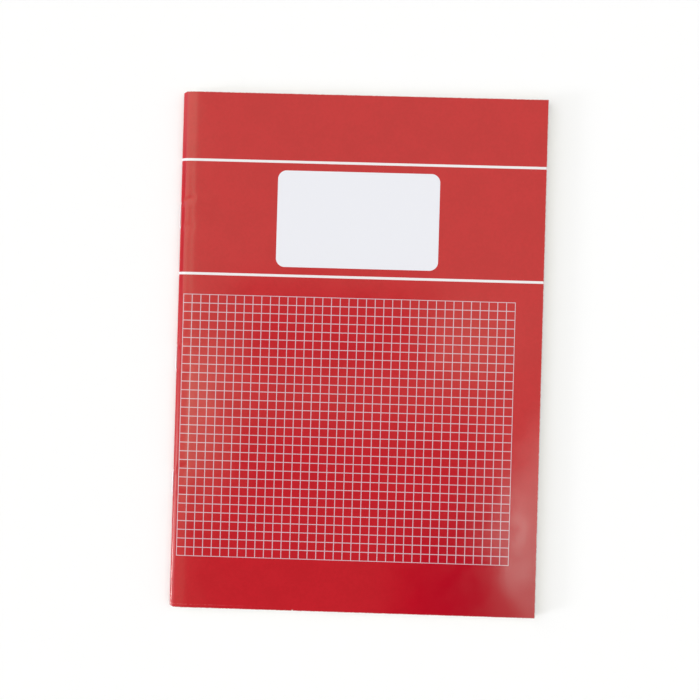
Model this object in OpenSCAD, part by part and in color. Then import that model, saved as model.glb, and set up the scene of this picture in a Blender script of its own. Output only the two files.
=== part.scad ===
// Stapled A4 notebook, closed and lying on its back cover.
// +X runs from the fold to the fore-edge, +Y from foot to head, +Z up through the front cover.

/* [Closed notebook] */
// Width from the outside of the fold to the fore-edge
closed_w = 210; // [180:1:240]
// Height from foot to head
closed_h = 297; // [260:1:340]

/* [Sheets] */
// Folded sheets inside the cover, two leaves each
sheets = 20; // [8:1:30]
// Thickness of one leaf
leaf_t = 0.1; // [0.08:0.01:0.14]
// Air between two leaves
leaf_air = 0.018; // [0.01:0.002:0.03]
// Thickness of the cover card
card_t = 0.35; // [0.3:0.01:0.5]
// Air between the cover and the leaves
page_gap = 0.05; // [0.02:0.01:0.1]

/* [Fold] */
// Width of the rounded strip that stays with the staples when a cover opens
fold_w = 12; // [10:0.5:18]
// Fullness of the fold's section, where 2 would be an ellipse
fold_fullness = 4; // [3:0.5:5]
// Depth over which the sheets are pressed solid behind each fold
press_w = 1.2; // [0.8:0.1:2]

/* [Staples] */
// Distance from the outer staples' centres to the head and the foot
staple_margin = 71.4; // [40:0.1:90]
// Distance of the middle staple below the middle of the fold
staple_drop = 5.2; // [0:0.1:20]
// Length of a staple's crown over its legs
crown_l = 13.8; // [12:0.1:16]
// Diameter of the wire
wire_d = 0.65; // [0.45:0.01:0.7]
// Depth to which the crown is pressed into the card
crown_sunk = 0.12; // [0.1:0.01:0.25]
// Radius of the wire's bends at its centre line
bend_r = 0.6; // [0.4:0.05:0.8]
// Length of each clinched end
clinch_l = 5.4; // [3:0.1:5.6]
// Clearance round the wire
wire_clear = 0.02; // [0.01:0.01:0.05]
// Length of the open space behind the middle sheet's fold
room_l = 3; // [2.5:0.1:4]

/* [Print] */
// Depth of the printed fields in the card
print_t = 0.08; // [0.04:0.01:0.12]
// Width of the two long rules
rule_w = 1.45; // [1:0.05:3]
// Distance of the upper rule's centre from the head
upper_rule = 39.3; // [20:0.1:50]
// Width of the name panel
panel_w = 93.1; // [60:0.1:100]
// Height of the name panel
panel_h = 55.5; // [40:0.1:65]
// Corner radius of the name panel
panel_r = 5; // [1:0.1:10]
// Distance from the fold to the name panel
panel_left = 56.05; // [30:0.05:75]
// Clear band between the upper rule and the name panel
panel_gap = 4.25; // [1:0.05:10]
// Clear band between the name panel and the lower rule
rule_gap = 4.3; // [1:0.05:10]

/* [Squared field] */
// Distance between neighbouring lines
grid_pitch = 5.015; // [4:0.005:6]
// Width of a line
line_w = 0.3; // [0.2:0.05:0.8]
// Distance from the fold to the first upright line's centre
grid_left = 3.5; // [3:0.1:8]
// Clear band between the lower rule and the top line
grid_gap = 11.1; // [2:0.05:20]
// Least distance from the last upright line to the fore-edge
grid_right = 15; // [5:0.5:30]
// Least distance from the bottom line to the foot
grid_foot = 29; // [10:0.5:40]

/* [Hidden] */

card_red = [0.76, 0.17, 0.2];
print_white = [0.95, 0.95, 0.97];
paper_white = [0.95, 0.94, 0.9];
wire_grey = [0.7, 0.68, 0.7];

leaf_pitch = leaf_t + leaf_air;
pages_t = 2 * sheets * leaf_pitch - leaf_air;
closed_t = pages_t + 2 * (card_t + page_gap);
mid_z = closed_t / 2;
half_h = closed_h / 2;

wire_r = wire_d / 2;
crown_proud = wire_d - crown_sunk;
// The staples stand out of the fold, so the fold lies half their height in from the left
fold_x = -(closed_w - crown_proud) / 2;
fore_x = fold_x + closed_w;
hinge_x = fold_x + fold_w;

block_inset = card_t + page_gap;
centre_u = block_inset + sheets * leaf_pitch - leaf_air;
// The clinched ends lie this far behind the middle sheet's fold
clinch_gap = 0.1;
clinch_u = centre_u + clinch_gap + wire_r;
// Half height of the open space, a little over the wire's radius
room_h = 0.8 * wire_d;

// Straight pieces in half of the fold's section
steps = 18;
// Points along a gap between leaves, set closer together towards the fold
stations = 12;
station_power = 1.5;
first_step = press_w / 3;
layer_t = print_t / 2;
// How far a cut runs past the face it opens
cut = 1;

// The print is laid out from the head down: upper rule, name panel, lower rule, squared field
panel_top = upper_rule + rule_w / 2 + panel_gap;
lower_rule = panel_top + panel_h + rule_gap + rule_w / 2;
grid_top = lower_rule + rule_w / 2 + grid_gap + line_w / 2;
columns = floor((closed_w - grid_left - grid_right) / grid_pitch);
rows = floor((closed_h - grid_top - grid_foot) / grid_pitch);
grid_y1 = half_h - grid_top;
grid_y0 = grid_y1 - rows * grid_pitch;
grid_u0 = grid_left - line_w / 2;
grid_u1 = grid_left + columns * grid_pitch + line_w / 2;

// Point on the fold's outer curve at angle a, moved in by an inset; a runs from 90 at the
// front hinge line through 0 at the fold to -90 at the back one
function curve_v(a) = pow(max(cos(a), 0), 2 / fold_fullness);
function curve_z(a) = mid_z * sin(a);
function curve_n(a) = [-fold_fullness * pow(curve_v(a), fold_fullness - 1) / fold_w,
    2 * curve_z(a) / pow(mid_z, 2)];
function fold_point(a, inset) = [hinge_x - fold_w * curve_v(a), mid_z + curve_z(a)]
    - inset * curve_n(a) / norm(curve_n(a));
function fold_curve(a0, a1, inset) = [for (i = [0 : steps]) fold_point(a0 + (a1 - a0) * i / steps, inset)];

// Angle on the front half of that curve at a distance u from the fold
function angle_at(u) = acos(pow((fold_w - u) / fold_w, fold_fullness / 2));

// Half height of the stack of leaves at a distance u from the fold
function stack_v(u) = max(fold_w - u, 0) / (fold_w - block_inset);
function stack_h(u) = pages_t / 2 * sqrt(1 - pow(min(stack_v(u), 1), fold_fullness));

// Half height of the open space behind the middle sheet's fold, which peaks at a third of its length
room_peak = sqrt(1 / 3) * 2 / 3;
function room_t(u) = min(max((u - centre_u) / room_l, 0), 1);
function room_at(u) = room_h / room_peak * sqrt(room_t(u)) * (1 - room_t(u));

// Centre height of the gap that lies k leaves from the middle of the stack
function gap_z(k, u) = mid_z + sign(k) * (room_at(u) + (stack_h(u) - room_at(u)) * abs(k) / sheets);
function gap_half(k, u) = k == 0 ? max(room_at(u), leaf_air / 2) : leaf_air / 2;
function gap_start(k) = k == 0 ? centre_u : block_inset + (sheets - abs(k)) * leaf_pitch + press_w;
function gap_stations(k) = concat([gap_start(k)],
    k == 0 ? [centre_u + room_l / 30, centre_u + room_l / 10] : [],
    [for (j = [1 : stations]) let (u = fold_w * pow(j / stations, station_power))
        if (u > gap_start(k) + first_step) u],
    [closed_w]);
function gap_side(k, side) = [for (u = gap_stations(k)) [fold_x + u, gap_z(k, u) + side * gap_half(k, u)]];
function reversed(list) = [for (i = [len(list) - 1 : -1 : 0]) list[i]];

// Section drawn in X and Z, run from y0 to y1
module along_y(y0, y1) {
    translate([0, y1, 0]) rotate([90, 0, 0]) linear_extrude(y1 - y0) children();
}

// Ribbon between two insets of the whole fold
module fold_band(inset0, inset1) {
    polygon(concat(fold_curve(90, 0, inset0), fold_curve(0, -90, inset0),
        fold_curve(-90, 0, inset1), fold_curve(0, 90, inset1)));
}

// Ribbon between two insets of the fold's front half, from u0 to u1
module front_band(u0, u1, inset0, inset1) {
    a0 = angle_at(u0);
    a1 = angle_at(u1);
    count = ceil((a1 - a0) * steps / 90);
    polygon(concat([for (i = [0 : count]) fold_point(a0 + (a1 - a0) * i / count, inset0)],
        [for (i = [count : -1 : 0]) fold_point(a0 + (a1 - a0) * i / count, inset1)]));
}

// Quarter turn of wire round [x, y]; turn is the angle at which it starts
module wire_bend(x, y, turn, r) {
    translate([x, y, mid_z]) rotate([0, 0, turn]) rotate_extrude(angle = 90, $fn = 32)
        translate([bend_r, 0]) circle(r = r, $fn = 24);
}

module wire_along_y(x, y0, y1, r) {
    translate([x, y1, mid_z]) rotate([90, 0, 0]) cylinder(r = r, h = y1 - y0, $fn = 24);
}

module wire_along_x(x0, x1, y, r) {
    translate([x0, y, mid_z]) rotate([0, 90, 0]) cylinder(r = r, h = x1 - x0, $fn = 24);
}

// One staple at height y, or with a larger radius the space it takes up
module staple_wire(y, r) {
    crown_x = fold_x - crown_proud + wire_r;
    clinch_x = fold_x + clinch_u;
    leg_y = crown_l / 2 - wire_r;
    wire_along_y(crown_x, y - leg_y + bend_r, y + leg_y - bend_r, r);
    for (side = [-1, 1]) {
        bend_y = y + side * (leg_y - bend_r);
        tip_y = y + side * (leg_y + wire_r - clinch_l);
        wire_bend(crown_x + bend_r, bend_y, side > 0 ? 90 : 180, r);
        wire_along_x(crown_x + bend_r, clinch_x - bend_r, y + side * leg_y, r);
        wire_bend(clinch_x - bend_r, bend_y, side > 0 ? 0 : 270, r);
        wire_along_y(clinch_x, min(tip_y, bend_y), max(tip_y, bend_y), r);
    }
}

head_staple_y = half_h - staple_margin;
middle_staple_y = -staple_drop;
tail_staple_y = staple_margin - half_h;

module staple_spaces() {
    for (y = [head_staple_y, middle_staple_y, tail_staple_y]) staple_wire(y, wire_r + wire_clear);
}

// Bands of the two rules, as lower and upper Y
rule_bands = [for (d = [upper_rule, lower_rule]) [half_h - d - rule_w / 2, half_h - d + rule_w / 2]];

// Rounded strip of card over the fold, with beds for the print and the staples
module spine_fold() {
    color(card_red) difference() {
        along_y(-half_h, half_h) fold_band(0, card_t);
        for (band = rule_bands) along_y(band[0], band[1]) fold_band(-cut, print_t);
        along_y(grid_y0 - line_w / 2, grid_y1 + line_w / 2) front_band(grid_u0, fold_w, -cut, print_t);
        staple_spaces();
    }
}

// All the leaves as one solid: they are joined at the fold and stand apart from there outwards
module page_block() {
    leaf_gaps = [for (k = [1 - sheets : sheets - 1]) each concat(reversed(gap_side(k, -1)), gap_side(k, 1))];
    leaf_curve = concat(fold_curve(90, 0, block_inset), fold_curve(0, -90, block_inset));
    fore_bottom = [fore_x, block_inset];
    fore_top = [fore_x, closed_t - block_inset];
    color(paper_white) difference() {
        along_y(-half_h, half_h) polygon(concat([fore_bottom], leaf_gaps, [fore_top], leaf_curve));
        staple_spaces();
    }
}

module staple_head() {
    color(wire_grey) staple_wire(head_staple_y, wire_r);
}

module staple_middle() {
    color(wire_grey) staple_wire(middle_staple_y, wire_r);
}

module staple_tail() {
    color(wire_grey) staple_wire(tail_staple_y, wire_r);
}

// The two rules where they run round the fold, cut away wherever a staple lies
module spine_rules() {
    color(print_white) difference() {
        for (band = rule_bands) along_y(band[0], band[1]) fold_band(0, print_t);
        staple_spaces();
    }
}

// The squared field where it reaches onto the fold: level lines lie over upright ones
module spine_grid() {
    color(print_white) {
        for (row = [0 : rows]) {
            y = grid_y0 + row * grid_pitch;
            inset = row == 0 || row == rows ? print_t : layer_t;
            along_y(y - line_w / 2, y + line_w / 2) front_band(grid_u0, fold_w, 0, inset);
        }
        for (column = [0 : columns]) {
            u = grid_left + column * grid_pitch;
            if (u - line_w / 2 < fold_w)
                along_y(grid_y0, grid_y1) front_band(u - line_w / 2, min(u + line_w / 2, fold_w), layer_t, print_t);
        }
    }
}

// Flat part of a cover, from its hinge line to the fore-edge
module cover_panel(z) {
    translate([hinge_x, -half_h, z]) cube([closed_w - fold_w, closed_h, card_t]);
}

// The two rules on a flat cover, as thick as t, with their ends run past the card by over
module flat_rules(z, t, over) {
    for (band = rule_bands)
        translate([hinge_x - over, band[0], z]) cube([closed_w - fold_w + 2 * over, rule_w, t]);
}

module panel_outline() {
    x0 = fold_x + panel_left;
    y1 = half_h - panel_top;
    for (x = [x0 + panel_r, x0 + panel_w - panel_r], y = [y1 - panel_h + panel_r, y1 - panel_r])
        translate([x, y]) circle(r = panel_r, $fn = 48);
    translate([x0 + panel_r, y1 - panel_h]) square([panel_w - 2 * panel_r, panel_h]);
    translate([x0, y1 - panel_h + panel_r]) square([panel_w, panel_h - 2 * panel_r]);
}

// Front cover, with beds for the print
module front_cover() {
    bed_z = closed_t - print_t;
    color(card_red) difference() {
        cover_panel(closed_t - card_t);
        flat_rules(bed_z, cut, cut);
        translate([0, 0, bed_z]) linear_extrude(cut) panel_outline();
        translate([hinge_x - cut, grid_y0 - line_w / 2, bed_z])
            cube([grid_u1 - fold_w + cut, grid_y1 - grid_y0 + line_w, cut]);
    }
}

module front_rules() {
    color(print_white) flat_rules(closed_t - print_t, print_t, 0);
}

module name_panel() {
    color(print_white) translate([0, 0, closed_t - print_t]) linear_extrude(print_t) panel_outline();
}

// Level line of the squared field on the flat cover, from z up
module level_line(row, z) {
    translate([hinge_x, grid_y0 + row * grid_pitch - line_w / 2, z])
        cube([grid_u1 - fold_w, line_w, layer_t]);
}

// Upright line of the squared field on the flat cover, from z up
module upright_line(column, z) {
    u = grid_left + column * grid_pitch;
    u0 = max(u - line_w / 2, fold_w);
    translate([fold_x + u0, grid_y0 - line_w / 2, z])
        cube([u + line_w / 2 - u0, grid_y1 - grid_y0 + line_w, layer_t]);
}

// Lower layer of the squared field: upright lines between the top and bottom lines
module grid_columns() {
    z = closed_t - print_t;
    color(print_white) {
        for (row = [0, rows]) level_line(row, z);
        for (column = [0 : columns])
            if (grid_left + column * grid_pitch + line_w / 2 > fold_w) upright_line(column, z);
    }
}

// Upper layer of the squared field: level lines held by the last upright line
module grid_rows() {
    z = closed_t - layer_t;
    color(print_white) {
        for (row = [0 : rows]) level_line(row, z);
        upright_line(columns, z);
    }
}

// Back cover, with beds for the rules in its underside
module back_cover() {
    color(card_red) difference() {
        cover_panel(0);
        flat_rules(print_t - cut, cut, cut);
    }
}

module back_rules() {
    color(print_white) flat_rules(0, print_t, 0);
}

spine_fold();
page_block();
staple_head();
staple_middle();
staple_tail();
spine_rules();
spine_grid();
front_cover();
front_rules();
name_panel();
grid_columns();
grid_rows();
back_cover();
back_rules();
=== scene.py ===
import math
import random

import bmesh
import bpy
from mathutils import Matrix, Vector


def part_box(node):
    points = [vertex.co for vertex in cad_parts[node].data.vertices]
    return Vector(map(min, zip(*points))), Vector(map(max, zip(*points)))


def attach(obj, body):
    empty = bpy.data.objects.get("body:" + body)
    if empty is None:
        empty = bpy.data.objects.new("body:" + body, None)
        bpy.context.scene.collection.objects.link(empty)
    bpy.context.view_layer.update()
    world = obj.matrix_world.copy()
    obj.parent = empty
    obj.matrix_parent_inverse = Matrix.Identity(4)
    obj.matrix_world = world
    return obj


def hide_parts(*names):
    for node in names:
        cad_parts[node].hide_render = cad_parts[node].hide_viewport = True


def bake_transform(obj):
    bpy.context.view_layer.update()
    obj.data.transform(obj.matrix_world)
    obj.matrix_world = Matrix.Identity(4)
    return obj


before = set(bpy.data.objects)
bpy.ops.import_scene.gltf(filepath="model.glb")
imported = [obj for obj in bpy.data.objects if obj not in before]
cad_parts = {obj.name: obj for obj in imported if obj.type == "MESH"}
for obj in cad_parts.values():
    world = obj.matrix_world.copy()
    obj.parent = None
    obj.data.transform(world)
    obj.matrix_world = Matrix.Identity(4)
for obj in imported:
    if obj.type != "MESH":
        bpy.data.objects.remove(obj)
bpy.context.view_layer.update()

# places of the closed notebook, all read from the frame
millimetre = 0.001
foldLow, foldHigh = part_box("spine_fold")
coverLow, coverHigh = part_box("front_cover")
blockLow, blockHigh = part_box("page_block")
foldX, hingeX, foreX = foldLow.x, foldHigh.x, coverHigh.x
topZ, midZ = coverHigh.z, coverHigh.z / 2
foldWidth = hingeX - foldX
bookWidth = foreX - foldX
halfHeight = coverHigh.y
cardThickness = coverHigh.z - coverLow.z
blockDepth = blockLow.x - foldX
leavesHalf = (blockHigh.z - blockLow.z) / 2
stapleNames = ("staple_head", "staple_middle", "staple_tail")
stapleBoxes = [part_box(name) for name in stapleNames]


# helpers for node trees

def newMaterial(name):
    material = bpy.data.materials.new(name)
    material.use_nodes = True
    tree = material.node_tree
    shader = next(n for n in tree.nodes if n.type == "BSDF_PRINCIPLED")
    return material, tree, shader


def addNode(tree, kind, inputs=None, **settings):
    node = tree.nodes.new(kind)
    for key, value in settings.items():
        setattr(node, key, value)
    for key, value in (inputs or {}).items():
        if isinstance(value, bpy.types.NodeSocket):
            tree.links.new(value, node.inputs[key])
        else:
            node.inputs[key].default_value = value
    return node


def calc(tree, operation, *values):
    return addNode(tree, "ShaderNodeMath", dict(enumerate(values)), operation=operation).outputs[0]


def ramp(tree, value, low, high, lowValue=0.0, highValue=1.0):
    node = addNode(tree, "ShaderNodeMapRange", {
        "Value": value, "From Min": low, "From Max": high, "To Min": lowValue, "To Max": highValue,
    }, interpolation_type="SMOOTHSTEP")
    return node.outputs["Result"]


def blendColor(tree, share, first, second):
    node = addNode(tree, "ShaderNodeMix", data_type="RGBA")
    for socket, value in ((node.inputs[0], share), (node.inputs[6], first), (node.inputs[7], second)):
        if isinstance(value, bpy.types.NodeSocket):
            tree.links.new(value, socket)
        else:
            socket.default_value = value
    return node.outputs[2]


def grainNoise(tree, size, detail=3.0, stretch=(1, 1, 1)):
    place = addNode(tree, "ShaderNodeTexCoord").outputs["Object"]
    turned = addNode(tree, "ShaderNodeMapping", {"Vector": place, "Scale": stretch}).outputs[0]
    return addNode(tree, "ShaderNodeTexNoise", {
        "Vector": turned, "Scale": 1 / size, "Detail": detail,
    }).outputs["Fac"]


def addBump(tree, shader, *layers):
    # each layer is a height pattern and how many metres it stands from its low to its high
    normal = None
    for height, depth in layers:
        inputs = {"Height": height, "Strength": 1.0, "Distance": depth}
        if normal:
            inputs["Normal"] = normal
        normal = addNode(tree, "ShaderNodeBump", inputs).outputs["Normal"]
    tree.links.new(normal, shader.inputs["Normal"])


# helpers for meshes

def layeredGrid(columns, rows):
    # a grid from -1 to 1 with a second layer one below it, joined round the rim
    bm = bmesh.new()
    bmesh.ops.create_grid(bm, x_segments=columns, y_segments=rows, size=1)
    below = bmesh.ops.extrude_face_region(bm, geom=bm.faces[:], use_keep_orig=True)["geom"]
    bmesh.ops.translate(bm, vec=(0, 0, -1), verts=[g for g in below if isinstance(g, bmesh.types.BMVert)])
    return bm


def finishPiece(bm, name, *materials):
    mesh = bpy.data.meshes.new(name)
    bm.to_mesh(mesh)
    bm.free()
    for material in materials:
        mesh.materials.append(material)
    piece = bpy.data.objects.new(name, mesh)
    bpy.context.collection.objects.link(piece)
    return piece


# print on the covers, measured from the fold and from the middle of the height

panelLow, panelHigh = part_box("name_panel")
rulesLow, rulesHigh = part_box("front_rules")
rowsLow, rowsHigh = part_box("grid_rows")
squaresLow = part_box("spine_grid")[0]

printing = {
    "ruleWidth": 1.45 * millimetre,
    "lineWidth": 0.3 * millimetre,
    "columns": 38,
    "rows": 30,
    "panelCorner": 5 * millimetre,
    "inkEdge": 0.06 * millimetre,  # how softly the rules and the panel end
    "lineEdge": 0.22 * millimetre,  # the same for the squares' lines
}


def bandMask(tree, value, centre, halfWidth):
    offset = calc(tree, "ABSOLUTE", calc(tree, "SUBTRACT", value, centre))
    edge = printing["inkEdge"]
    return ramp(tree, offset, halfWidth - edge, halfWidth + edge, 1.0, 0.0)


def rulesMask(tree, y):
    half = printing["ruleWidth"] / 2
    upper = bandMask(tree, y, rulesHigh.y - half, half)
    return calc(tree, "MAXIMUM", upper, bandMask(tree, y, rulesLow.y + half, half))


def panelMask(tree, u, y):
    # distance to a rectangle with rounded corners
    corner = printing["panelCorner"]
    past = []
    for value, low, high in ((u, panelLow.x - foldX, panelHigh.x - foldX), (y, panelLow.y, panelHigh.y)):
        offset = calc(tree, "ABSOLUTE", calc(tree, "SUBTRACT", value, (low + high) / 2))
        past.append(calc(tree, "SUBTRACT", offset, (high - low) / 2 - corner))
    outside = [calc(tree, "POWER", calc(tree, "MAXIMUM", value, 0.0), 2.0) for value in past]
    inside = calc(tree, "MINIMUM", calc(tree, "MAXIMUM", *past), 0.0)
    distance = calc(tree, "ADD", calc(tree, "SQRT", calc(tree, "ADD", *outside)), inside)
    edge = printing["inkEdge"]
    return ramp(tree, distance, corner - edge, corner + edge, 1.0, 0.0)


def squaresMask(tree, u, y):
    half, edge = printing["lineWidth"] / 2, printing["lineEdge"]
    lines = []
    field = []
    for value, low, high, count in ((u, squaresLow.x - foldX, rowsHigh.x - foldX, printing["columns"]),
                                    (y, rowsLow.y, rowsHigh.y, printing["rows"])):
        pitch = (high - low - 2 * half) / count
        nearest = calc(tree, "PINGPONG", calc(tree, "SUBTRACT", value, low + half), pitch / 2)
        lines.append(ramp(tree, nearest, half - edge, half + edge, 1.0, 0.0))
        field.append(bandMask(tree, value, (low + high) / 2, (high - low) / 2))
    return calc(tree, "MULTIPLY", calc(tree, "MAXIMUM", *lines), calc(tree, "MULTIPLY", *field))


laminate = {
    "red": (0.543, 0.0060, 0.0175, 1),
    "deepRed": (0.508, 0.0050, 0.0155, 1),
    "shadedCornerRed": (0.418, 0.0020, 0.0148, 1),  # painted shade: the red is darker towards the foot's far corner, where less light falls on it
    "cornerReach": (10 * millimetre, 115 * millimetre),
    "filmTint": (0.85, 1.0, 0.85, 1),
    "panelWhite": (0.83, 0.83, 0.89, 1),
    "ruleWhite": (0.85, 0.83, 0.85, 1),
    "lineWhite": (0.72, 0.70, 0.79, 1),
    "mottleSizes": (14 * millimetre, 1.6 * millimetre),
    "wornSize": 9 * millimetre,
    "roughness": (0.07, 0.11),
    "peelSize": 1.3 * millimetre,  # fine unevenness of the film
    "peelDepth": 0.0022 * millimetre,
    "swellSize": 26 * millimetre,  # slow swells of the card under it
    "swellDepth": 0.11 * millimetre,
    "creaseHighlightRed": (0.62, 0.06, 0.075, 1),  # painted highlight: a faint lighter line along the foot, near the fold, where the card is creased
    "creaseAt": 1.9 * millimetre,
    "creaseWidth": 0.4 * millimetre,
    "creaseEnd": 65 * millimetre,
    "creaseGrain": 1.2 * millimetre,
    "chipWhite": (0.80, 0.68, 0.63, 1),  # where the film has chipped off the foot's edge
    "chipAt": 71.1 * millimetre,
    "chipWidth": 1.1 * millimetre,
    "chipHeight": 0.7 * millimetre,
}


# painted highlight of the faint crease along the foot, broken up by grain
def creaseHighlightMask(tree, u, y):
    offset = calc(tree, "ABSOLUTE", calc(tree, "SUBTRACT", y, laminate["creaseAt"] - halfHeight))
    line = ramp(tree, offset, 0.0, laminate["creaseWidth"], 1.0, 0.0)
    line = calc(tree, "MULTIPLY", line, ramp(tree, u, 0.0, laminate["creaseEnd"], 1.0, 0.0))
    grain = grainNoise(tree, laminate["creaseGrain"], 3)
    return calc(tree, "MULTIPLY", line, ramp(tree, grain, 0.35, 0.6))


# painted shade: how strongly the red is darkened towards the foot's far corner
def cornerShadeMask(tree, u, y):
    aside = calc(tree, "POWER", calc(tree, "SUBTRACT", bookWidth, u), 2.0)
    above = calc(tree, "POWER", calc(tree, "ADD", y, halfHeight), 2.0)
    near, far = laminate["cornerReach"]
    return ramp(tree, calc(tree, "SQRT", calc(tree, "ADD", aside, above)), near, far, 1.0, 0.0)


def chipMask(tree, u, y):
    offset = calc(tree, "ABSOLUTE", calc(tree, "SUBTRACT", u, laminate["chipAt"]))
    across = ramp(tree, offset, 0.3 * laminate["chipWidth"], 0.6 * laminate["chipWidth"], 1.0, 0.0)
    above = calc(tree, "ADD", y, halfHeight)
    upward = ramp(tree, above, 0.5 * laminate["chipHeight"], laminate["chipHeight"], 1.0, 0.0)
    return calc(tree, "MULTIPLY", across, upward)


def coverPrint(name, withFront):
    material, tree, shader = newMaterial(name)
    plan = addNode(tree, "ShaderNodeUVMap", uv_map="plan").outputs[0]
    flat = addNode(tree, "ShaderNodeSeparateXYZ", {0: plan})
    u, y = flat.outputs["X"], flat.outputs["Y"]
    coarse, fine = laminate["mottleSizes"]
    mottle = calc(tree, "ADD", grainNoise(tree, coarse, 4), grainNoise(tree, fine, 3))
    color = blendColor(tree, ramp(tree, mottle, 0.75, 1.25), laminate["deepRed"], laminate["red"])
    if withFront:
        # painted shade towards the foot's far corner
        color = blendColor(tree, cornerShadeMask(tree, u, y), color, laminate["shadedCornerRed"])
        # painted highlight along the foot's crease
        color = blendColor(tree, creaseHighlightMask(tree, u, y), color, laminate["creaseHighlightRed"])
        color = blendColor(tree, chipMask(tree, u, y), color, laminate["chipWhite"])
        color = blendColor(tree, squaresMask(tree, u, y), color, laminate["lineWhite"])
        color = blendColor(tree, panelMask(tree, u, y), color, laminate["panelWhite"])
    color = blendColor(tree, rulesMask(tree, y), color, laminate["ruleWhite"])
    tree.links.new(color, shader.inputs["Base Color"])
    shader.inputs["Specular Tint"].default_value = laminate["filmTint"]
    smooth, rough = laminate["roughness"]
    worn = ramp(tree, grainNoise(tree, laminate["wornSize"], 5), 0.3, 0.7, smooth, rough)
    tree.links.new(worn, shader.inputs["Roughness"])
    addBump(tree, shader, (grainNoise(tree, laminate["swellSize"], 1), laminate["swellDepth"]),
            (grainNoise(tree, laminate["peelSize"], 2), laminate["peelDepth"]))
    return material


uncoated = {
    "dark": (0.80, 0.79, 0.75, 1),
    "light": (0.85, 0.84, 0.81, 1),
    "roughness": 0.75,
    "fibreSize": 0.6 * millimetre,
    "fibreDepth": 0.01 * millimetre,
}


def cardInside():
    material, tree, shader = newMaterial("uncoated_card")
    fibres = grainNoise(tree, uncoated["fibreSize"], 4, (1, 3, 1))
    color = blendColor(tree, ramp(tree, fibres, 0.3, 0.7), uncoated["dark"], uncoated["light"])
    tree.links.new(color, shader.inputs["Base Color"])
    shader.inputs["Roughness"].default_value = uncoated["roughness"]
    addBump(tree, shader, (fibres, uncoated["fibreDepth"]))
    return material


trimmed = {
    "dark": (0.66, 0.52, 0.51, 1),
    "light": (0.86, 0.80, 0.79, 1),
    "inkFleck": (0.58, 0.26, 0.27, 1),  # red dragged over the cut by the guillotine
    "roughness": 0.8,
    "layerSize": 0.25 * millimetre,
    "layerDepth": 0.03 * millimetre,
    "fleckSize": 1.5 * millimetre,
}


def cutEdge():
    material, tree, shader = newMaterial("cut_card_edge")
    layers = grainNoise(tree, trimmed["layerSize"], 3, (0.2, 0.2, 2))
    color = blendColor(tree, ramp(tree, layers, 0.35, 0.65), trimmed["dark"], trimmed["light"])
    flecks = ramp(tree, grainNoise(tree, trimmed["fleckSize"], 4), 0.42, 0.6)
    color = blendColor(tree, flecks, color, trimmed["inkFleck"])
    tree.links.new(color, shader.inputs["Base Color"])
    shader.inputs["Roughness"].default_value = trimmed["roughness"]
    addBump(tree, shader, (layers, trimmed["layerDepth"]))
    return material


paper = {
    "dark": (0.855, 0.845, 0.80, 1),
    "light": (0.875, 0.865, 0.82, 1),
    "roughness": (0.78, 0.9),
    "cloudSize": 5 * millimetre,
    "fibreSize": 0.5 * millimetre,
    "fibreDepth": 0.006 * millimetre,
    "waveSize": 45 * millimetre,
    "waveDepth": 0.1 * millimetre,
}


def pagePaper():
    material, tree, shader = newMaterial("page_paper")
    fibres = grainNoise(tree, paper["fibreSize"], 5, (1, 2, 1))
    cloudy = ramp(tree, grainNoise(tree, paper["cloudSize"], 3), 0.3, 0.7)
    tree.links.new(blendColor(tree, cloudy, paper["dark"], paper["light"]), shader.inputs["Base Color"])
    tree.links.new(ramp(tree, fibres, 0.2, 0.8, *paper["roughness"]), shader.inputs["Roughness"])
    waves = grainNoise(tree, paper["waveSize"], 1)
    addBump(tree, shader, (waves, paper["waveDepth"]), (fibres, paper["fibreDepth"]))
    return material


steel = {
    "dark": (0.74, 0.70, 0.73, 1),
    "light": (0.92, 0.88, 0.91, 1),
    "roughness": (0.3, 0.5),
    "drawnSize": 0.35 * millimetre,
    "drawnDepth": 0.008 * millimetre,
}


def stapleSteel():
    material, tree, shader = newMaterial("staple_steel")
    drawn = grainNoise(tree, steel["drawnSize"], 4, (1, 0.08, 1))
    color = blendColor(tree, ramp(tree, drawn, 0.3, 0.7), steel["dark"], steel["light"])
    tree.links.new(color, shader.inputs["Base Color"])
    shader.inputs["Metallic"].default_value = 1.0
    tree.links.new(ramp(tree, drawn, 0.3, 0.7, *steel["roughness"]), shader.inputs["Roughness"])
    addBump(tree, shader, (drawn, steel["drawnDepth"]))
    return material


# cover: one card folded round the leaves, made as a front and a back sheet that meet on the fold

cover = {
    "turnSteps": 26,  # strips round the tight part of the fold, by equal turns
    "turnEnd": 75,  # degrees of the section that those strips take up
    "foldStep": 0.6 * millimetre,
    "bendLength": 3.8 * millimetre,  # beyond the hinge line, where the card bends when it opens
    "bendSteps": 9,
    "flatStep": 4 * millimetre,
    "heightStep": 1.2 * millimetre,
    "trim": 0.2 * millimetre,  # crushed edge left by the guillotine
    "trimDrop": 0.05 * millimetre,
    "dentDepth": 0.2 * millimetre,  # where a staple's crown presses on the fold
    "dentReach": 1.1 * millimetre,
    "dentEnd": 1.2 * millimetre,  # past the ends of the crown
    "pullDepth": 0.3 * millimetre,  # where a staple's leg pulls the card in
    "pullPeak": 3.2 * millimetre,
    "pullLength": 10 * millimetre,
    "pullWidth": 1.7 * millimetre,
    "upperPull": (1.0, 0.4),  # how strong at the leg nearer the head, and how far it leans
    "lowerPull": (0.6, 0.1),
    "cornerReach": 2.6 * millimetre,
    "cornerDraw": 0.7 * millimetre,
}


def smoothStep(value, low, high):
    t = min(max((value - low) / (high - low), 0.0), 1.0)
    return t * t * (3 - 2 * t)


def sectionPoint(u):
    # height over the middle and outward normal of the card's outer face, u from the fold
    v = max(foldWidth - u, 0.0) / foldWidth
    rise = midZ * math.sqrt(max(1 - v ** 4, 0.0))
    return rise, Vector((-4 * v ** 3 / foldWidth, 0, 2 * rise / midZ ** 2)).normalized()


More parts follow.
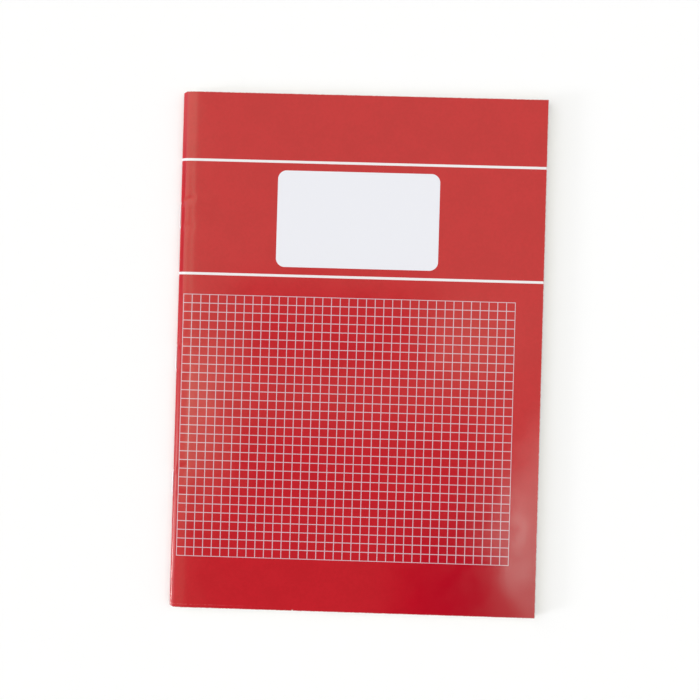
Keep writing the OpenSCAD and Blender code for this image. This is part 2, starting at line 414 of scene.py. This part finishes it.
def planStations():
    turns = [cover["turnEnd"] * i / cover["turnSteps"] for i in range(cover["turnSteps"] + 1)]
    stations = [foldWidth * (1 - math.sqrt(math.cos(math.radians(a)))) for a in turns]
    for start, end, step in (
        (stations[-1], foldWidth, cover["foldStep"]),
        (foldWidth, foldWidth + cover["bendLength"], cover["bendLength"] / cover["bendSteps"]),
        (foldWidth + cover["bendLength"], bookWidth - cover["trim"], cover["flatStep"]),
    ):
        count = round((end - start) / step)
        stations += [start + (end - start) * i / count for i in range(1, count + 1)]
    return stations + [bookWidth]


def heightStations():
    inner = halfHeight - cover["trim"]
    count = round(2 * inner / cover["heightStep"])
    return [-halfHeight] + [-inner + 2 * inner * j / count for j in range(count + 1)] + [halfHeight]


def drawnIn(u, y):
    # the fold's corners at head and foot are rubbed round
    corner = 1 - smoothStep(u, 0.0, cover["cornerReach"])
    nearEnd = smoothStep(abs(y), halfHeight - cover["cornerReach"], halfHeight)
    return y - math.copysign(cover["cornerDraw"] * corner * nearEnd, y)


def stapleRelief(u, y):
    # how far the staples pull the card in at this place
    depth = 0.0
    for low, high in stapleBoxes:
        outside = max(low.y - y, y - high.y, 0.0)
        crown = 1 - smoothStep(outside, 0.0, cover["dentEnd"])
        across = 1 - smoothStep(u, 0.0, cover["dentReach"])
        depth = max(depth, cover["dentDepth"] * crown * across)
        for legY, (share, lean) in ((high.y, cover["upperPull"]), (low.y, cover["lowerPull"])):
            drift = (y - legY - lean * u) / cover["pullWidth"]
            along = smoothStep(u, 0.0, cover["pullPeak"])
            along *= 1 - smoothStep(u, cover["pullPeak"], cover["pullLength"])
            depth = max(depth, share * cover["pullDepth"] * along * math.exp(-drift * drift))
    return depth


def makeCoverSheet(name, side, materials):
    uList, yList = planStations(), heightStations()
    columns, rows = len(uList) - 1, len(yList) - 1
    bm = layeredGrid(columns, rows)
    plan = bm.loops.layers.uv.new("plan")
    places = {}
    for vert in bm.verts:
        i, j = round((vert.co.x + 1) / 2 * columns), round((vert.co.y + 1) / 2 * rows)
        places[vert] = (i, j, vert.co.z < -0.5)
    for face in bm.faces:
        spots = [places[v] for v in face.verts]
        onRim = any(s[0] == columns or s[1] in (0, rows) for s in spots)
        if all(s[2] for s in spots):
            face.material_index = 1
        elif onRim or any(s[2] for s in spots):
            face.material_index = 2
        face.smooth = len({s[2] for s in spots}) == 1
        for loop, (i, j, _) in zip(face.loops, spots):
            loop[plan].uv = (uList[i], yList[j])
    for edge in bm.edges:
        kinds = {f.material_index for f in edge.link_faces}
        edge.smooth = all(f.smooth for f in edge.link_faces) and len(kinds) == 1
    for vert, (i, j, onInside) in places.items():
        u, y = uList[i], drawnIn(uList[i], yList[j])
        rise, normal = sectionPoint(u)
        depth = stapleRelief(u, y)
        if onInside:
            depth += cardThickness
        elif i == columns or j in (0, rows):
            depth += cover["trimDrop"]
        spot = Vector((foldX + u, y, midZ + rise)) - normal * depth
        if i == 0:
            spot.z = midZ
        vert.co = (spot.x, spot.y, spot.z if side > 0 else 2 * midZ - spot.z)
    bmesh.ops.recalc_face_normals(bm, faces=bm.faces[:])
    sheet = finishPiece(bm, name, *materials)
    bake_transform(sheet)
    return sheet


insideCard, edgeCard = cardInside(), cutEdge()
frontFaces = (coverPrint("front_laminate", True), insideCard, edgeCard)
frontSheet = makeCoverSheet("front_cover_card", 1, frontFaces)
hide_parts("spine_fold", "front_cover", "spine_rules", "spine_grid", "front_rules", "name_panel",
            "grid_columns", "grid_rows")
backFaces = (coverPrint("back_laminate", False), insideCard, edgeCard)
backSheet = makeCoverSheet("back_cover_card", -1, backFaces)
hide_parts("back_cover", "back_rules")
print("cover sheets made:", len(frontSheet.data.polygons), len(backSheet.data.polygons))


# leaves: folded sheets, one inside the other

leaves = {
    "seed": 11,
    "sheets": 20,
    "thickness": 0.1 * millimetre,
    "unevenAir": (0.1, 1.0),  # least and most air over a leaf, against each other
    "unevenTrim": 0.12 * millimetre,  # how far a leaf may lie back from the block's edges
    "foldSteps": 16,
    "flatParts": (0.05, 0.3, 0.65, 1.0),  # shares of the way from the hinge line to the fore-edge
    "foldRound": 0.45 * millimetre,
    "roomHeight": 0.5 * millimetre,  # open space behind the inmost fold, for the clinched wire
    "roomLength": 3 * millimetre,
    "sharpAngle": 40,  # degrees
}


def leafLevels(chance):
    # heights of the leaves' centres over the middle, with the air between them shared out unevenly
    airs = [chance.uniform(*leaves["unevenAir"]) for _ in range(leaves["sheets"])]
    spare = (leavesHalf - leaves["sheets"] * leaves["thickness"]) / sum(airs)
    levels, height = [], 0.0
    for air in airs:
        height += air * spare
        levels.append(height + leaves["thickness"] / 2)
        height += leaves["thickness"]
    return levels


def roomAt(u, inmost):
    # half height of the open space, which is widest a third of the way along it
    t = min(max((u - inmost) / leaves["roomLength"], 0.0), 1.0)
    return leaves["roomHeight"] * math.sqrt(t) * (1 - t) / (math.sqrt(1 / 3) * 2 / 3)


def leafRise(u, share, start, inmost):
    # height of a leaf's centre over the middle, at a distance u from the fold
    v = min(max(foldWidth - u, 0.0) / (foldWidth - blockDepth), 1.0)
    room = roomAt(u, inmost)
    full = room + (leavesHalf * math.sqrt(1 - v ** 4) - room) * share
    t = min(max((u - start) / leaves["foldRound"], 0.0), 1.0)
    return full * math.sqrt(1 - (1 - t) ** 2)


def leafPath(start, topShare, bottomShare):
    # centre line of a folded sheet, from the upper fore-edge round the fold to the lower one
    inmost = blockDepth + leavesHalf
    parts = [i / leaves["foldSteps"] for i in range(leaves["foldSteps"] + 1)]
    run = [start + (foldWidth - start) * part ** 2 for part in parts]
    run += [foldWidth + (bookWidth - foldWidth) * part for part in leaves["flatParts"]]
    centres = [(u, topShare, 1) for u in reversed(run)] + [(u, bottomShare, -1) for u in run[1:]]
    return [Vector((foldX + u, 0, midZ + side * leafRise(u, share, start, inmost)))
            for u, share, side in centres]


def foldedSheet(path, headBack, footBack):
    columns = len(path) - 1
    sheet = layeredGrid(columns, 1)
    for vert in sheet.verts:
        i = round((vert.co.x + 1) / 2 * columns)
        along = (path[min(i + 1, columns)] - path[max(i - 1, 0)]).normalized()
        outward = Vector((along.z, 0, -along.x))
        across = (0.5 if vert.co.z > -0.5 else -0.5) * leaves["thickness"]
        end = drawnIn(path[i].x - foldX, halfHeight - (headBack if vert.co.y > 0 else footBack))
        vert.co = path[i] + outward * across + Vector((0, math.copysign(end, vert.co.y), 0))
    bmesh.ops.recalc_face_normals(sheet, faces=sheet.faces[:])
    return sheet


def makeLeaves():
    chance = random.Random(leaves["seed"])
    tops, bottoms = leafLevels(chance), leafLevels(chance)
    pitch = leavesHalf / leaves["sheets"]
    bm = bmesh.new()
    for number in range(leaves["sheets"]):
        start = blockDepth + (leaves["sheets"] - 1 - number) * pitch + leaves["thickness"] / 2
        upperBack, lowerBack, headBack, footBack = [
            chance.uniform(0, leaves["unevenTrim"]) for _ in range(4)
        ]
        path = leafPath(start, tops[number] / leavesHalf, bottoms[number] / leavesHalf)
        path[0].x -= upperBack
        path[-1].x -= lowerBack
        sheet = foldedSheet(path, headBack, footBack)
        part = bpy.data.meshes.new("leaf")
        sheet.to_mesh(part)
        sheet.free()
        bm.from_mesh(part)
        bpy.data.meshes.remove(part)
    for face in bm.faces:
        face.smooth = abs(face.normal.y) < 0.5
    for edge in bm.edges:
        sharp = edge.calc_face_angle(0) >= math.radians(leaves["sharpAngle"])
        edge.smooth = len(edge.link_faces) == 2 and not sharp
    block = finishPiece(bm, "leaves", pagePaper())
    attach(block, "book_block")
    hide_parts("page_block")
    return block


leafBlock = makeLeaves()
print("leaves made:", len(leafBlock.data.polygons))


# staples keep their CAD shape

wire = stapleSteel()
for name in stapleNames:
    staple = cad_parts[name]
    if not staple.material_slots:
        staple.data.materials.append(wire)
    for slot in staple.material_slots:
        slot.material = wire
print("staples finished")


# floor, light and camera

studio = {
    "floorSize": 6.0,
    "floorWhite": (0.99, 0.99, 0.99, 1),
    "floorLevel": -0.4 * millimetre,  # low enough for the back cover when it is laid open
    "floorRoughness": 0.95,
    "level": 0.56,  # light from everywhere, before the panels
    "leastLight": 0.02,  # what the dark panels leave
    "overheadTilts": (45, 30),  # degrees from straight up, where the overhead colour starts and is full
    "horizon": (0.08, 0.17),  # heights of the rays below which a mirror sees the white surroundings
    "dome": (1.0, 1.01, 1.10, 1),
    "overhead": (1.0, 0.98, 0.84, 1),
    "footLamp": (0.9, 1.0, 1.08, 1),
    # soft panels of the light tent as the notebook sees them, in degrees from straight up:
    # low X, high X, low Y, high Y, how softly they end in X and in Y, strength
    "panels": (
        (-47, 41, -45, 41, 5, 5, 0.37),  # the ceiling
        (-12, 15, -1.5, 30, 4, 4, 0.32),
        (-11, 8.5, -32, -3.5, 2.5, 3.2, -0.65),  # dark towards the foot
        (2.3, 9, -25, -11.5, 1.3, 1.5, -0.27),
        (-7.7, 3.8, -1.4, 4.2, 2.5, 1.8, -0.85),  # the camera
        (4.3, 9, -1, 2.5, 1, 1, 0.5),
        (-13.8, -8.7, -8, -0.5, 1.7, 2.8, 1.9),  # lamps on the fold's side
        (-41, -11.8, -9.7, 3, 2, 1.5, 0.85),
        (-41, -11.8, 3, 21.5, 2, 1.5, 1.5),
        (-23, -14.5, -0.8, 10.8, 2, 1.5, -0.5),
        (-78, -41, 11.5, 39, 2, 2, 1.0),
        (-78, -46, -21.5, 2.3, 3, 2.5, 1.3),
        (-69, -46, -13, -4.3, 3, 2, 2.0),
        (-79, -72, -23, -10.7, 1.5, 3, 27),  # narrow lamp low down
    ),
    "footPanels": (  # lamp at the foot on the far side
        (10.1, 16, -16, -4.5, 0.9, 3, 2.1),
        (9.1, 10, -13.2, -8.2, 0.85, 2.4, 7.6),
    ),
}


def makeFloor():
    bm = bmesh.new()
    bmesh.ops.create_grid(bm, x_segments=1, y_segments=1, size=studio["floorSize"] / 2)
    bmesh.ops.translate(bm, vec=(0, 0, studio["floorLevel"]), verts=bm.verts)
    material, _, shader = newMaterial("floor_paper")
    shader.inputs["Base Color"].default_value = studio["floorWhite"]
    shader.inputs["Roughness"].default_value = studio["floorRoughness"]
    shader.inputs["Specular IOR Level"].default_value = 0.0
    floor = finishPiece(bm, "studio_floor", material)


def panelLight(tree, tilts, panels, level):
    for lowX, highX, lowY, highY, softX, softY, strength in panels:
        for tilt, low, high, soft in ((tilts[0], lowX, highX, softX), (tilts[1], lowY, highY, softY)):
            rising = ramp(tree, tilt, low - soft, low + soft)
            falling = ramp(tree, tilt, high - soft, high + soft, 1.0, 0.0)
            strength = calc(tree, "MULTIPLY", calc(tree, "MULTIPLY", strength, rising), falling)
        level = calc(tree, "ADD", strength, level)
    return level


def makeLightTent():
    world = bpy.data.worlds.new("light_tent")
    bpy.context.scene.world = world
    world.use_nodes = True
    tree = world.node_tree
    background = next(n for n in tree.nodes if n.type == "BACKGROUND")
    direction = addNode(tree, "ShaderNodeTexCoord").outputs["Generated"]
    parts = addNode(tree, "ShaderNodeSeparateXYZ", {0: direction}).outputs
    angles = (calc(tree, "ARCTAN2", parts[0], parts[2]), calc(tree, "ARCSINE", parts[1]))
    tilts = [calc(tree, "DEGREES", angle) for angle in angles]
    foot = panelLight(tree, tilts, studio["footPanels"], 0.0)
    level = calc(tree, "ADD", panelLight(tree, tilts, studio["panels"], studio["level"]), foot)
    path = addNode(tree, "ShaderNodeLightPath").outputs
    mirrored = calc(tree, "MAXIMUM", path["Is Glossy Ray"], path["Is Transmission Ray"])
    horizon = ramp(tree, parts[2], *studio["horizon"], 1.0, 0.0)
    white = calc(tree, "MAXIMUM", path["Is Camera Ray"], calc(tree, "MULTIPLY", mirrored, horizon))
    lit = calc(tree, "MAXIMUM", level, studio["leastLight"])
    strength = calc(tree, "ADD", calc(tree, "MULTIPLY", lit, calc(tree, "SUBTRACT", 1.0, white)), white)
    overhead = ramp(tree, parts[2], *(math.cos(math.radians(tilt)) for tilt in studio["overheadTilts"]))
    color = blendColor(tree, overhead, studio["dome"], studio["overhead"])
    color = blendColor(tree, calc(tree, "DIVIDE", foot, lit), color, studio["footLamp"])
    tree.links.new(blendColor(tree, white, color, (1, 1, 1, 1)), background.inputs["Color"])
    tree.links.new(strength, background.inputs["Strength"])


viewing = {
    "place": (0.0028, 0.0004, 0.5403),
    "turn": (0.2, 0.79, 1.61),  # degrees
    "lens": 47.93,
    "sensor": 36.0,
    "clip": (0.01, 20),
}


def makeCamera():
    data = bpy.data.cameras.new("photo_camera")
    data.lens, data.sensor_width = viewing["lens"], viewing["sensor"]
    data.clip_start, data.clip_end = viewing["clip"]
    camera = bpy.data.objects.new("photo_camera", data)
    camera.location = viewing["place"]
    camera.rotation_euler = [math.radians(a) for a in viewing["turn"]]
    bpy.context.collection.objects.link(camera)
    bpy.context.scene.camera = camera


makeFloor()
makeLightTent()
makeCamera()
bpy.context.scene.view_settings.view_transform = "Standard"
print("studio ready")
